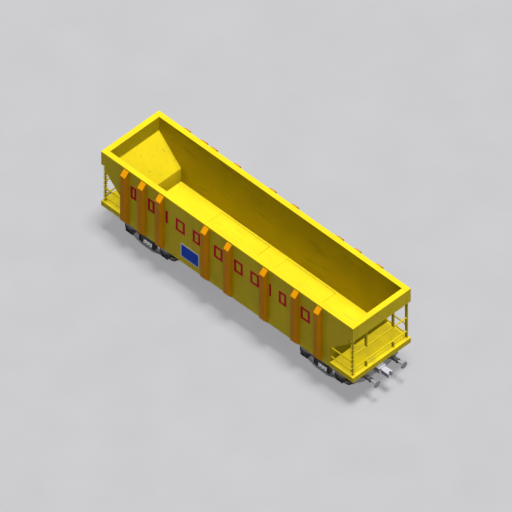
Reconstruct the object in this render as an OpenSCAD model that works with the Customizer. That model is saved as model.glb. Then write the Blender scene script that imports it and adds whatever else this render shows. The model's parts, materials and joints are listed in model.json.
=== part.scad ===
// Open hopper wagon on two four-wheel bogies, with a flat floor that opens
// through four drop doors, and a platform under each end's slope sheet.
// +X is the front end, +Y the left side, +Z up. The origin is under the middle
// of the wagon, at the height of the lowest point of the wheel flanges.

/* [Body] */
// Length over the end headers
body_l = 12400; // [11600:50:14900]
// Width over the side walls, without the posts
body_w = 2850; // [2700:10:3420]
// Height of the top rim above the rail
rim_h = 3820; // [3500:10:4600]
// Height of the floor and the end platforms above the rail
deck_h = 1400; // [1340:10:1550]
// Depth of the sill under the deck
sill_t = 230; // [200:5:276]
// Thickness of a side wall
wall_t = 220; // [120:5:264]

/* [Ends] */
// Height of the end header
header_h = 640; // [520:10:800]
// Thickness of the end header, fore and aft
header_t = 230; // [150:5:280]
// How far below the rim the slope starts inside
slope_depth = 660; // [640:10:900]
// Fore-and-aft run of the slope sheet
slope_run = 1080; // [900:10:1300]
// Height that the slope sheet falls
slope_drop = 1120; // [930:10:1350]
// Upright thickness of the slope sheet at its top
sheet_top_t = 225; // [120:5:270]
// Upright thickness of the slope sheet at its foot
sheet_foot_t = 130; // [80:5:160]
// Thickness of the upright wall under the slope
foot_wall_t = 170; // [100:5:205]

/* [Side posts] */
// Width of a side post
post_w = 240; // [150:5:290]
// How far a side post stands out
post_d = 200; // [120:5:240]
// How far below the rim the right posts end
post_drop = 60; // [20:5:120]
// How far below the rim the left posts end
left_post_drop = 8; // [2:1:120]

/* [End platform] */
// Thickness of the deck plate and the floor plate
plate_t = 30; // [12:1:36]
// Width of the beams round the platform
beam_w = 100; // [60:5:120]
// Section of an end post along the wagon
end_post_x = 100; // [60:5:120]
// Section of an end post across the wagon
end_post_y = 60; // [40:5:72]
// Distance of the inner end posts from the centre line
end_post_pitch = 665; // [550:5:800]
// Diameter of the handrails
rail_d = 60; // [30:2:72]
// Height of the upper rail across the end
end_rail_hi = 968; // [820:10:1190]
// Height of the lower rail across the end
end_rail_lo = 300; // [250:10:400]
// Height of the upper side rail
side_rail_hi = 634; // [500:10:740]
// Height of the lower side rail
side_rail_lo = 190; // [130:10:240]
// Number of rungs on each ladder post
rungs = 8; // [5:1:10]
// Diameter of a ladder rung
rung_d = 30; // [20:1:36]

/* [Draw gear] */
// Height of the buffers and couplers above the rail
coupler_h = 880; // [800:5:920]
// Distance of a buffer from the centre line
buffer_pitch = 665; // [550:5:800]
// Diameter of a buffer head
buffer_head_d = 300; // [250:5:360]
// Diameter of a buffer housing
buffer_housing_d = 165; // [130:5:200]
// Diameter of a buffer plunger
plunger_d = 90; // [70:2:108]
// Travel of a buffer
buffer_stroke = 105; // [80:5:125]
// How far the buffer heads stand out past the end header
buffer_out = 432; // [400:2:520]
// Width of the headstock
headstock_w = 2120; // [1800:10:2500]
// Depth of the headstock under the sill
headstock_h = 670; // [560:10:690]
// Distance of the headstock's face behind the end header
headstock_in = 270; // [220:10:330]

/* [Drop doors] */
// Length of a drop door's opening
door_l = 2380; // [2000:10:2420]
// Width of a drop door's opening
door_w = 900; // [750:10:940]
// Gap round a drop door
door_gap = 10; // [6:1:12]
// Distance of the inner edge of a door opening from the centre line
door_y = 220; // [210:5:250]

/* [Bogies] */
// Distance between the bogie pivots
pivot_l = 8600; // [8400:50:9600]
// Wheelbase of a bogie
wheelbase = 1727; // [1600:1:1850]
// Diameter of a wheel on its tread
wheel_d = 838; // [760:2:860]
// Height of the wheel flange
flange_h = 28; // [25:1:32]
// Distance between the backs of the wheels
back_to_back = 1350; // [1200:5:1400]
// Width of a wheel's rim
wheel_w = 140; // [120:2:150]
// Diameter of an axle journal
journal_d = 130; // [100:2:150]
// Distance of a side frame's outer face from the centre line
frame_y = 1065; // [1040:5:1120]
// Thickness of a side frame
frame_t = 135; // [100:5:140]
// Diameter of a suspension spring
spring_d = 124; // [90:2:130]

/* [Hidden] */
$fn = 64;

body_yellow = "gold";
post_orange = "orange";
frame_grey = "gray";
dark_steel = "dimgray";
bright_steel = "silver";

// Side posts, as distances along the wagon from its middle
right_post_x = [-4955, -4110, -3230, -1010, 120, 1890, 3420, 4550];
left_post_x = [-4930, -4080, -3600, -2470, -720, 380, 2600, 3460, 4530];

// Heights, all from the origin
rail_z = flange_h;
rim_z = rail_z + rim_h;
deck_z = rail_z + deck_h;
sill_z = deck_z - sill_t;
under_z = deck_z - plate_t;
header_z = rim_z - header_h;
slope_z = min(rim_z - slope_depth, header_z);
coupler_z = rail_z + coupler_h;
axle_z = rail_z + wheel_d / 2;

// Lengths and widths
half_l = body_l / 2;
half_w = body_w / 2;
inner_w = half_w - wall_t;
header_x = half_l - header_t;
foot_in_x = header_x - slope_run;
foot_out_x = foot_in_x + foot_wall_t;
foot_in_z = slope_z - slope_drop;
foot_out_z = foot_in_z + slope_drop / slope_run * foot_wall_t - sheet_foot_t;
flange_l = 50;
flange_t = 60;
headstock_t = 100;
headstock_x = half_l - headstock_in;
end_post_in = 122;
end_post_row = half_l - end_post_in;
corner_post_y = half_w - 97;
ladder_x = 70;
ladder_y = 40;
rung_reach_x = 100;
rung_reach_y = 90;

// Underframe
bearer_w = 120;
bay_x = 430;
bearer_x = [bay_x - bearer_w / 2 - 20, bay_x + door_l + bearer_w / 2 + 30,
            pivot_l / 2, (foot_in_x + foot_out_x) / 2];
centre_sill_w = 320;
centre_sill_t = 20;
centre_sill_z = rail_z + 760;
hanger_x = bearer_x[0] - bearer_w / 2;
body_bolster_x = 300;
body_bolster_z = rail_z + 1000;
side_bearing_y = 640;

// Drop doors
hinge_y = door_y - 20;
hinge_z = under_z - 30;
hinge_rod_r = 15;
hinge_clearance = 1;
hinge_loop_r = 24;
rib_h = 60;
rib_w = 40;

// Draw gear
housing_l = 380;
housing_flange = 230;
housing_flange_t = 30;
plunger_clearance = 1;
buffer_face_x = half_l + buffer_out;
buffer_head_t = 72;
housing_x = headstock_x + housing_flange_t;
coupler_pin_x = headstock_x - 260;
coupler_pin_d = 60;
shank_w = 120;
shank_h = 130;
head_w = 240;
head_h = 190;
striker_t = half_l + 30 - headstock_x;
striker_x = headstock_x;
striker_w = 330;
striker_up = 105;
striker_down = 130;
striker_wall = 35;

// Bogie, with heights above the rail
window_x = 240;
window_lo = 250;
window_hi = 640;
frame_lo = 146;
frame_hi = 745;
box_x = 167;
box_lo = 290;
box_hi = 560;
box_in_y = 900;
box_out_y = 1090;
box_cap_t = 20;
journal_clearance = 1;
axle_r = 80;
hub_out = 25;
seat_y = back_to_back / 2 + wheel_w + hub_out;
axle_end_y = 1078;
spring_top = 480;
bolster_x = 180;
bolster_mid_lo = 420;
bolster_top = 700;
centre_plate_d = 350;
centre_plate_gap = 0.5;
side_bearing_gap = 10;
tread_gap = 8;

// ---------- helpers ----------

// A box given by its two corners
module block(lo, hi) {
    translate(lo) cube(hi - lo);
}

// An outline in X and Z, drawn from the middle of the wagon, as thick as y0 to y1
module upright(y0, y1) {
    translate([0, y1, 0]) rotate([90, 0, 0]) linear_extrude(y1 - y0) children();
}

// The children at the front, or turned end for end at the rear
module at_end(end) {
    if (end > 0) children();
    else mirror([1, 0, 0]) children();
}

// The children on the left, or mirrored onto the right
module at_side(side) {
    if (side > 0) children();
    else mirror([0, 1, 0]) children();
}

module rod_x(x0, x1, y, z, d) {
    translate([x0, y, z]) rotate([0, 90, 0]) cylinder(h = x1 - x0, d = d);
}

module rod_y(y0, y1, x, z, d) {
    translate([x, y0, z]) rotate([-90, 0, 0]) cylinder(h = y1 - y0, d = d);
}

// ---------- load space ----------

module side_outline() {
    polygon([
        [-half_l, rim_z], [-half_l, header_z], [-header_x, header_z],
        [-header_x, slope_z - sheet_top_t], [-foot_out_x, foot_out_z], [-foot_out_x, sill_z],
        [foot_out_x, sill_z], [foot_out_x, foot_out_z], [header_x, slope_z - sheet_top_t],
        [header_x, header_z], [half_l, header_z], [half_l, rim_z]
    ]);
}

module side_wall(side) {
    color(body_yellow) at_side(side) upright(inner_w, half_w) side_outline();
}

module end_headers() {
    color(body_yellow) for (end = [-1, 1]) at_end(end)
        block([header_x, -inner_w, header_z], [half_l, inner_w, rim_z]);
}

module slope_sheet(end) {
    color(body_yellow) at_end(end) upright(-inner_w, inner_w) polygon([
        [header_x, header_z], [header_x + flange_l, header_z],
        [header_x + flange_l, header_z - flange_t], [header_x, slope_z - sheet_top_t],
        [foot_out_x, foot_out_z], [foot_out_x, under_z], [foot_in_x, under_z],
        [foot_in_x, foot_in_z], [header_x, slope_z]
    ]);
}

module floor_plate() {
    color(body_yellow) difference() {
        block([-foot_in_x, -inner_w, under_z], [foot_in_x, inner_w, deck_z]);
        for (end = [-1, 1], side = [-1, 1])
            at_end(end) at_side(side)
                block([bay_x, door_y, under_z - 1], [bay_x + door_l, door_y + door_w, deck_z + 1]);
    }
}

// Trapezoid posts that are cut back at 45 degrees at both ends
module side_posts(side, places, drop) {
    color(post_orange) at_side(side) for (x = places)
        translate([x - post_w / 2, half_w, 0]) rotate([90, 0, 90]) linear_extrude(post_w) polygon([
            [0, sill_z], [post_d, sill_z + post_d + 30],
            [post_d, rim_z - drop - post_d], [0, rim_z - drop]
        ]);
}

// ---------- underframe ----------

module crossbearers() {
    color(frame_grey) for (end = [-1, 1], x = bearer_x)
        at_end(end) block([x - bearer_w / 2, -inner_w, sill_z], [x + bearer_w / 2, inner_w, under_z]);
}

// Inverted channel with the body bolsters and the coupler pin plates
module centre_sill() {
    half = centre_sill_w / 2;
    end_x = headstock_x - headstock_t;
    plate_lo = coupler_z - shank_h / 2 - 5;
    plate_hi = coupler_z + shank_h / 2 + 5;
    color(frame_grey) {
        difference() {
            union() {
                block([-end_x, -half, centre_sill_z], [end_x, half, sill_z]);
                for (end = [-1, 1]) at_end(end) body_bolster();
            }
            block([-end_x - 1, -half + centre_sill_t, centre_sill_z - 1],
                  [end_x + 1, half - centre_sill_t, sill_z - centre_sill_t]);
        }
        for (end = [-1, 1]) at_end(end) {
            block([coupler_pin_x - 90, -half + centre_sill_t, plate_hi],
                  [coupler_pin_x + 90, half - centre_sill_t, plate_hi + 30]);
            block([coupler_pin_x - 90, -half + centre_sill_t, plate_lo - 30],
                  [coupler_pin_x + 90, half - centre_sill_t, plate_lo]);
            translate([coupler_pin_x, 0, plate_lo - 1]) cylinder(h = plate_hi - plate_lo + 2, d = coupler_pin_d);
            block([pivot_l / 2 - 200, -half, centre_sill_z], [pivot_l / 2 + 200, half, centre_sill_z + 40]);
        }
    }
}

module body_bolster() {
    x0 = pivot_l / 2 - body_bolster_x / 2;
    x1 = pivot_l / 2 + body_bolster_x / 2;
    block([x0, -inner_w, body_bolster_z], [x1, inner_w, sill_z]);
    for (side = [-1, 1]) at_side(side)
        block([x0 + 50, side_bearing_y - 60, rail_z + bolster_top + 30 + side_bearing_gap],
              [x1 - 50, side_bearing_y + 60, body_bolster_z + 1]);
    translate([pivot_l / 2, 0, rail_z + bolster_top + 30 + centre_plate_gap])
        cylinder(h = centre_sill_z - rail_z - bolster_top - 30, d = centre_plate_d);
}

module platform(end) {
    color(body_yellow) at_end(end) difference() {
        block([foot_out_x, -half_w, sill_z], [half_l, half_w, deck_z]);
        block([foot_out_x + beam_w, -half_w + beam_w, sill_z - 1],
              [headstock_x - headstock_t, half_w - beam_w, under_z]);
        block([headstock_x, -half_w + beam_w, sill_z - 1],
              [half_l - beam_w, half_w - beam_w, under_z]);
    }
}

module headstocks() {
    bottom = sill_z - headstock_h;
    half = headstock_w / 2;
    color(frame_grey) for (end = [-1, 1]) at_end(end) difference() {
        translate([headstock_x - headstock_t, 0, 0]) rotate([90, 0, 90]) linear_extrude(headstock_t) polygon([
            [-half, sill_z], [half, sill_z], [half, bottom + 200], [half - 420, bottom],
            [-half + 420, bottom], [-half, bottom + 200]
        ]);
        block([headstock_x - headstock_t - 1, -shank_w / 2 - 55, coupler_z - shank_h / 2 - 10],
              [headstock_x + 1, shank_w / 2 + 55, coupler_z + shank_h / 2 + 10]);
    }
}

// ---------- end posts, ladders and handrails ----------

module ladder_post() {
    rise = (header_z - deck_z) / rungs;
    translate([end_post_row, corner_post_y, 0]) {
        block([-ladder_x / 2, -ladder_y / 2, deck_z], [ladder_x / 2, ladder_y / 2, header_z]);
        for (i = [0 : rungs - 1]) {
            z = deck_z + rise * (i + 0.6);
            rod_x(-rung_reach_x, rung_reach_x, 0, z, rung_d);
            rod_y(-rung_reach_y, rung_reach_y, 0, z, rung_d);
        }
    }
}

module end_post(y, z0, z1) {
    block([end_post_row - end_post_x / 2, y - end_post_y / 2, z0],
          [end_post_row + end_post_x / 2, y + end_post_y / 2, z1]);
}

module ladder_posts() {
    color(body_yellow) for (end = [-1, 1]) at_end(end) at_side(-1) ladder_post();
}

// Plain corner posts on the left, hangers above the upper rail, and stanchions under the lower one
module end_posts() {
    color(body_yellow) for (end = [-1, 1]) at_end(end) {
        end_post(corner_post_y, deck_z, header_z);
        for (side = [-1, 1]) {
            end_post(side * end_post_pitch, deck_z + end_rail_hi + rail_d / 2, header_z);
            end_post(side * end_post_pitch, deck_z, deck_z + end_rail_lo - rail_d / 2);
        }
    }
}

module handrails() {
    left_y = corner_post_y - end_post_y / 2;
    right_y = corner_post_y - ladder_y / 2;
    color(body_yellow) for (end = [-1, 1]) at_end(end) {
        for (h = [end_rail_lo, end_rail_hi]) rod_y(-right_y, left_y, end_post_row, deck_z + h, rail_d);
        for (h = [side_rail_lo, side_rail_hi]) {
            rod_x(foot_out_x, end_post_row - end_post_x / 2, corner_post_y, deck_z + h, rail_d);
            rod_x(foot_out_x, end_post_row - ladder_x / 2, -corner_post_y, deck_z + h, rail_d);
        }
    }
}

// ---------- draw gear ----------

module buffer_housing() {
    translate([headstock_x, buffer_pitch, coupler_z]) {
        block([0, -housing_flange / 2, -housing_flange / 2],
              [housing_flange_t, housing_flange / 2, housing_flange / 2]);
        difference() {
            rotate([0, 90, 0]) cylinder(h = housing_flange_t + housing_l, d = buffer_housing_d);
            translate([housing_flange_t, 0, 0]) rotate([0, 90, 0])
                cylinder(h = housing_l + 1, d = plunger_d + 2 * plunger_clearance);
        }
    }
}

module buffer_housings() {
    color(dark_steel) for (end = [-1, 1], side = [-1, 1]) at_end(end) at_side(side) buffer_housing();
}

module buffers() {
    color(bright_steel) for (end = [-1, 1], side = [-1, 1]) at_end(end) at_side(side) {
        rod_x(housing_x + buffer_stroke + 20, buffer_face_x - buffer_head_t + 1, buffer_pitch, coupler_z, plunger_d);
        translate([buffer_face_x - buffer_head_t, buffer_pitch, coupler_z]) rotate([0, 90, 0]) rotate_extrude()
            polygon([[0, 0], [plunger_d / 2, 0], [buffer_head_d / 2, buffer_head_t - 40],
                     [buffer_head_d / 2, buffer_head_t - 12], [buffer_head_d / 2 - 40, buffer_head_t], [0, buffer_head_t]]);
    }
}

module coupler_strikers() {
    half = striker_w / 2;
    color(bright_steel) for (end = [-1, 1]) at_end(end) difference() {
        block([striker_x, -half, coupler_z - striker_down], [striker_x + striker_t, half, coupler_z + striker_up]);
        block([striker_x - 1, -half + striker_wall, coupler_z - shank_h / 2 - 12],
              [striker_x + striker_t + 1, half - striker_wall, coupler_z + shank_h / 2 + 12]);
    }
}

// Shank with an eye for its pin, and a knuckle head with a guard arm
module couplers() {
    nose_x = buffer_face_x;
    head_x = striker_x + striker_t + 8;
    half = head_w / 2;
    color(bright_steel) for (end = [-1, 1]) at_end(end) difference() {
        union() {
            translate([coupler_pin_x, 0, coupler_z - shank_h / 2]) cylinder(h = shank_h, d = shank_w);
            block([coupler_pin_x, -shank_w / 2, coupler_z - shank_h / 2],
                  [head_x + 1, shank_w / 2, coupler_z + shank_h / 2]);
            translate([0, 0, coupler_z - head_h / 2]) linear_extrude(head_h) polygon([
                [head_x, -half + 25], [head_x + 25, -half], [nose_x - 60, -half],
                [nose_x, -half - 10], [nose_x, -half + 25], [nose_x - 80, -20],
                [nose_x - 95, 40], [nose_x - 40, 55], [nose_x - 10, 75],
                [nose_x - 20, half], [nose_x - 120, half], [head_x + 25, half], [head_x, half - 25]
            ]);
        }
        translate([coupler_pin_x, 0, 0]) cylinder(h = 2 * coupler_z, d = coupler_pin_d + 2);
    }
}

// ---------- drop doors and brake gear ----------

// A rod in the left front bay, hung from the middle strip of the floor
module hinge_rod() {
    rod_x(bearer_x[0] + bearer_w / 2, bearer_x[1] - bearer_w / 2, hinge_y, hinge_z, 2 * hinge_rod_r);
    for (t = [1 / 3, 2 / 3])
        block([bay_x + t * door_l - 20, hinge_y - hinge_rod_r, hinge_z],
              [bay_x + t * door_l + 20, hinge_y + hinge_rod_r, under_z]);
}

module door_hinge_rods() {
    color(dark_steel) for (end = [-1, 1], side = [-1, 1]) at_end(end) at_side(side) hinge_rod();
}

module drop_door(end, side) {
    x0 = bay_x + door_gap;
    x1 = bay_x + door_l - door_gap;
    y0 = door_y + door_gap;
    y1 = door_y + door_w - door_gap;
    color(body_yellow) at_end(end) at_side(side) {
        block([x0, y0, under_z], [x1, y1, deck_z]);
        for (t = [1 / 6, 1 / 2, 5 / 6]) {
            x = bay_x + t * door_l;
            block([x - rib_w / 2, y0 + 50, under_z - rib_h], [x + rib_w / 2, y1 - 40, under_z]);
            door_loop(x, y0 + 60);
        }
    }
}

// The loop round the hinge rod, and its arm under the door
module door_loop(x, arm_y) {
    difference() {
        translate([x - rib_w / 2, 0, 0]) rotate([90, 0, 90]) linear_extrude(rib_w) union() {
            translate([hinge_y, hinge_z]) circle(r = hinge_loop_r);
            polygon([[hinge_y, hinge_z - hinge_loop_r], [arm_y, under_z - rib_h], [arm_y, under_z],
                     [door_y + door_gap + 8, under_z], [hinge_y, hinge_z + hinge_loop_r - 12]]);
        }
        rod_x(x - rib_w, x + rib_w, hinge_y, hinge_z, 2 * (hinge_rod_r + hinge_clearance));
    }
}

module brake_cylinder() {
    y = -760;
    z = sill_z - 170;
    color(dark_steel) {
        rod_x(-250, 200, y, z, 260);
        rod_x(200, 235, y, z, 300);
        rod_x(235, 420, y, z, 50);
        for (x = [-200, 130]) block([x, y - 60, z], [x + 40, y + 60, sill_z + 1]);
        block([-hanger_x, y - 90, sill_z], [hanger_x, y + 90, sill_z + 20]);
    }
}

module air_reservoir() {
    y = 720;
    z = sill_z - 230;
    color(dark_steel) {
        rod_x(-270, 270, y, z, 380);
        for (side = [-1, 1]) translate([side * 270, y, z]) rotate([0, side * 90, 0]) cylinder(h = 50, d1 = 380, d2 = 200);
        for (x = [-190, 150]) block([x, y - 60, z], [x + 40, y + 60, sill_z + 1]);
        block([-hanger_x, y - 90, sill_z], [hanger_x, y + 90, sill_z + 20]);
    }
}

// ---------- bogies ----------

// One side frame's outline, in X from the pivot and height above the rail
module frame_half() {
    axle = wheelbase / 2;
    box_side = axle - box_x;
    difference() {
        polygon([
            [0, frame_lo], [window_x + 40, frame_lo], [box_side, box_lo], [box_side, box_hi],
            [axle + box_x, box_hi], [axle + box_x, box_hi - 130], [axle + box_x + 44, box_hi - 130],
            [axle + box_x + 59, box_hi], [axle + box_x + 30, box_hi + 90], [axle + 40, box_hi + 100],
            [window_x + 180, frame_hi], [0, frame_hi]
        ]);
        polygon([[-1, window_lo], [window_x, window_lo], [window_x, window_hi], [-1, window_hi]]);
        polygon([[window_x + 155, 310], [box_side - 57, 392], [box_side - 57, 585], [window_x + 155, 625]]);
    }
}

module side_frames(end) {
    color(frame_grey) translate([end * pivot_l / 2, 0, rail_z]) for (side = [-1, 1]) at_side(side)
        upright(frame_y - frame_t, frame_y) {
            frame_half();
            mirror([1, 0]) frame_half();
        }
}

module bolster(end) {
    color(frame_grey) translate([end * pivot_l / 2, 0, rail_z]) {
        block([-bolster_x, -frame_y + frame_t + 60, bolster_mid_lo], [bolster_x, frame_y - frame_t - 60, bolster_top]);
        block([-bolster_x, -frame_y + 5, spring_top], [bolster_x, frame_y - 5, window_hi - 10]);
        translate([0, 0, bolster_top - 1]) cylinder(h = 31, d = centre_plate_d);
        for (side = [-1, 1]) block([-90, side * side_bearing_y - 50, bolster_top - 1],
                                   [90, side * side_bearing_y + 50, bolster_top + 30]);
    }
}

module springs(end) {
    color(bright_steel) translate([end * pivot_l / 2, 0, rail_z])
        for (side = [-1, 1], x = [-1, 0, 1])
            translate([x * 150, side * (frame_y - frame_t / 2), window_lo])
                cylinder(h = spring_top - window_lo, d = spring_d);
}

module axle_boxes(end) {
    color(dark_steel) translate([end * pivot_l / 2, 0, rail_z])
        for (axle = [-1, 1], side = [-1, 1]) translate([axle * wheelbase / 2, 0, 0]) at_side(side) difference() {
            union() {
                block([-box_x, box_in_y, box_lo], [box_x, box_out_y, box_hi]);
                rod_y(box_out_y - 1, box_out_y + box_cap_t, 0, wheel_d / 2, 200);
            }
            rod_y(box_in_y - 1, axle_end_y + 4, 0, wheel_d / 2, journal_d + 2 * journal_clearance);
        }
}

// Beams that ride in the side frames, with a shoe against each tread
module brake_beams(end) {
    axle = wheelbase / 2;
    beam_x = window_x + 100;
    color(dark_steel) translate([end * pivot_l / 2, 0, rail_z]) for (fore = [-1, 1]) mirror([fore > 0 ? 0 : 1, 0, 0]) {
        block([beam_x - 30, -frame_y + frame_t, 330], [beam_x + 30, frame_y - frame_t, 410]);
        for (side = [-1, 1]) at_side(side) difference() {
            block([beam_x + 20, back_to_back / 2 + 45, 290], [axle - wheel_d / 2 + 30, back_to_back / 2 + wheel_w - 10, 480]);
            rod_y(0, frame_y, axle, wheel_d / 2, wheel_d + 2 * tread_gap);
        }
    }
}

module axle(x) {
    color(dark_steel) translate([x, 0, axle_z]) {
        rod_y(-seat_y - 1, seat_y + 1, 0, 0, 2 * axle_r);
        for (side = [-1, 1]) at_side(side) {
            rod_y(seat_y, box_in_y - 10, 0, 0, 2 * axle_r + 20);
            rod_y(box_in_y - 11, axle_end_y, 0, 0, journal_d);
        }
    }
}

module wheels(x) {
    color(dark_steel) translate([x, 0, axle_z]) for (side = [-1, 1]) at_side(side) wheel();
}

// Web, rim, coned tread and flange, turned about the axle
module wheel() {
    back = back_to_back / 2;
    front = back + wheel_w;
    r = wheel_d / 2;
    hub = axle_r + 70;
    rotate([-90, 0, 0]) rotate_extrude() polygon([
        [axle_r, back - hub_out], [hub, back - hub_out], [hub + 10, back + 45], [r - 74, back + 30], [r - 64, back],
        [r + flange_h - 11, back], [r + flange_h, back + 9], [r + flange_h, back + 20],
        [r + 18, back + 29], [r + 2, back + 38], [r, back + 70], [r - 4, front],
        [r - 64, front], [r - 74, back + 60], [hub + 10, back + 75], [hub, seat_y], [axle_r, seat_y]
    ]);
}

// ---------- nodes ----------

side_wall(-1);  // right_side_wall
side_wall(1);  // left_side_wall
end_headers();
slope_sheet(1);  // front_slope_sheet
slope_sheet(-1);  // rear_slope_sheet
floor_plate();
crossbearers();
centre_sill();
platform(1);  // front_platform
platform(-1);  // rear_platform
side_posts(-1, right_post_x, post_drop);  // right_side_posts
side_posts(1, left_post_x, left_post_drop);  // left_side_posts
ladder_posts();  // right_ladder_posts
end_posts();
handrails();
headstocks();
buffer_housings();
buffers();
coupler_strikers();
couplers();
door_hinge_rods();
brake_cylinder();
air_reservoir();
drop_door(1, -1);  // front_right_door
drop_door(1, 1);  // front_left_door
drop_door(-1, -1);  // rear_right_door
drop_door(-1, 1);  // rear_left_door
side_frames(1);  // front_side_frames
bolster(1);  // front_bolster
springs(1);  // front_springs
axle_boxes(1);  // front_axle_boxes
brake_beams(1);  // front_brake_beams
side_frames(-1);  // rear_side_frames
bolster(-1);  // rear_bolster
springs(-1);  // rear_springs
axle_boxes(-1);  // rear_axle_boxes
brake_beams(-1);  // rear_brake_beams
wheels(pivot_l / 2 + wheelbase / 2);  // front_outer_wheels
axle(pivot_l / 2 + wheelbase / 2);  // front_outer_axle
wheels(pivot_l / 2 - wheelbase / 2);  // front_inner_wheels
axle(pivot_l / 2 - wheelbase / 2);  // front_inner_axle
wheels(-pivot_l / 2 + wheelbase / 2);  // rear_inner_wheels
axle(-pivot_l / 2 + wheelbase / 2);  // rear_inner_axle
wheels(-pivot_l / 2 - wheelbase / 2);  // rear_outer_wheels
axle(-pivot_l / 2 - wheelbase / 2);  // rear_outer_axle
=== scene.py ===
import json
import math

import bmesh
import bpy
from mathutils import Matrix, Vector

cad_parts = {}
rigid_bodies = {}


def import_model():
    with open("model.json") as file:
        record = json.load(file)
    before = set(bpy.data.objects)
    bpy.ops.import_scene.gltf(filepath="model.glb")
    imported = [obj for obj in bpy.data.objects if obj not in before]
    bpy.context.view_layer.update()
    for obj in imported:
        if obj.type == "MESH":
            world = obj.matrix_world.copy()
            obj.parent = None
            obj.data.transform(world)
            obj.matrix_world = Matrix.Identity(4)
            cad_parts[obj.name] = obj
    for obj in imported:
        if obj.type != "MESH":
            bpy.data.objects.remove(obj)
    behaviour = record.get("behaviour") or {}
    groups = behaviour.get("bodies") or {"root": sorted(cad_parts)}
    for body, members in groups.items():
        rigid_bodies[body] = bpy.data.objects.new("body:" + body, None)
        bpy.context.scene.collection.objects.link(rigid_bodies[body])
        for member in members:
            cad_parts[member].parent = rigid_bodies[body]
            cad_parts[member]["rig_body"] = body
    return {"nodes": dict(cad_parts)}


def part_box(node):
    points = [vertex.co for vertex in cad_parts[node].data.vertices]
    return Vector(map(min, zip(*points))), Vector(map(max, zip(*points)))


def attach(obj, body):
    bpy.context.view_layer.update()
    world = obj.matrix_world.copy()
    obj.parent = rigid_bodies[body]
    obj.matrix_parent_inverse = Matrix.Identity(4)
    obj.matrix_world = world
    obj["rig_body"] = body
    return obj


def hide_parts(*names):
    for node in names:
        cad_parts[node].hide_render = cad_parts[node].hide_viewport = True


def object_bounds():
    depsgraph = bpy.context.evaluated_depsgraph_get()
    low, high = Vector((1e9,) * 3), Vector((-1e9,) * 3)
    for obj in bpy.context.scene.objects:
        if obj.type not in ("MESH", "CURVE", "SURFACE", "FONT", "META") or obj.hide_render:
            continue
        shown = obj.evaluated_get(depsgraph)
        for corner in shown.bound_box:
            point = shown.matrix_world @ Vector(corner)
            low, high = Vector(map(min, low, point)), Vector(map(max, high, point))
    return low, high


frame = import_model()
CAD_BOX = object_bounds()
ENDS = {"front": 1, "rear": -1}
SIDES = {"right": -1, "left": 1}
X, Y, Z = Vector((1, 0, 0)), Vector((0, 1, 0)), Vector((0, 0, 1))


# ---------- materials ----------

def linear(r, g, b):
    """A colour given in screen values from 0 to 1, as the shader wants it."""
    def channel(c):
        return c / 12.92 if c <= 0.04045 else ((c + 0.055) / 1.055) ** 2.4
    return (channel(r), channel(g), channel(b), 1.0)


def darker(color, share):
    return tuple(c * share for c in color[:3]) + (1.0,)


YELLOW = linear(0.985, 0.88, 0.13)
ORANGE = linear(0.985, 0.655, 0.01)
RED = linear(0.95, 0.02, 0.17)
BLUE = linear(0.04, 0.34, 0.92)
WHITE = linear(0.97, 0.97, 0.96)
FRAME_GREY = linear(0.83, 0.84, 0.85)
COUPLER_GREY = linear(0.80, 0.80, 0.83)
BOGIE_GREY = linear(0.46, 0.46, 0.47)
DARK_GREY = linear(0.33, 0.33, 0.34)
WHEEL_BROWN = linear(0.40, 0.38, 0.37)
PLUNGER_STEEL = linear(0.82, 0.82, 0.83)
HEAD_STEEL = linear(0.74, 0.74, 0.75)
# Near white: the springs' steel colour is raised to carry painted highlights.
SPRING_STEEL_WITH_PAINTED_HIGHLIGHT = linear(0.93, 0.93, 0.93)
TREAD_STEEL = linear(0.72, 0.70, 0.68)
DUST = linear(0.42, 0.36, 0.27)
RUST = linear(0.36, 0.20, 0.12)
FLOOR_TONES = linear(0.70, 0.70, 0.71), linear(0.715, 0.715, 0.725)

MATT_IOR = 1.18          # weak reflections, as on the photograph's flat paint
COAT_ROUGHNESS = 0.25
BAR_WAVES = 74.0         # radians per metre of the chequer plate's pattern


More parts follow.
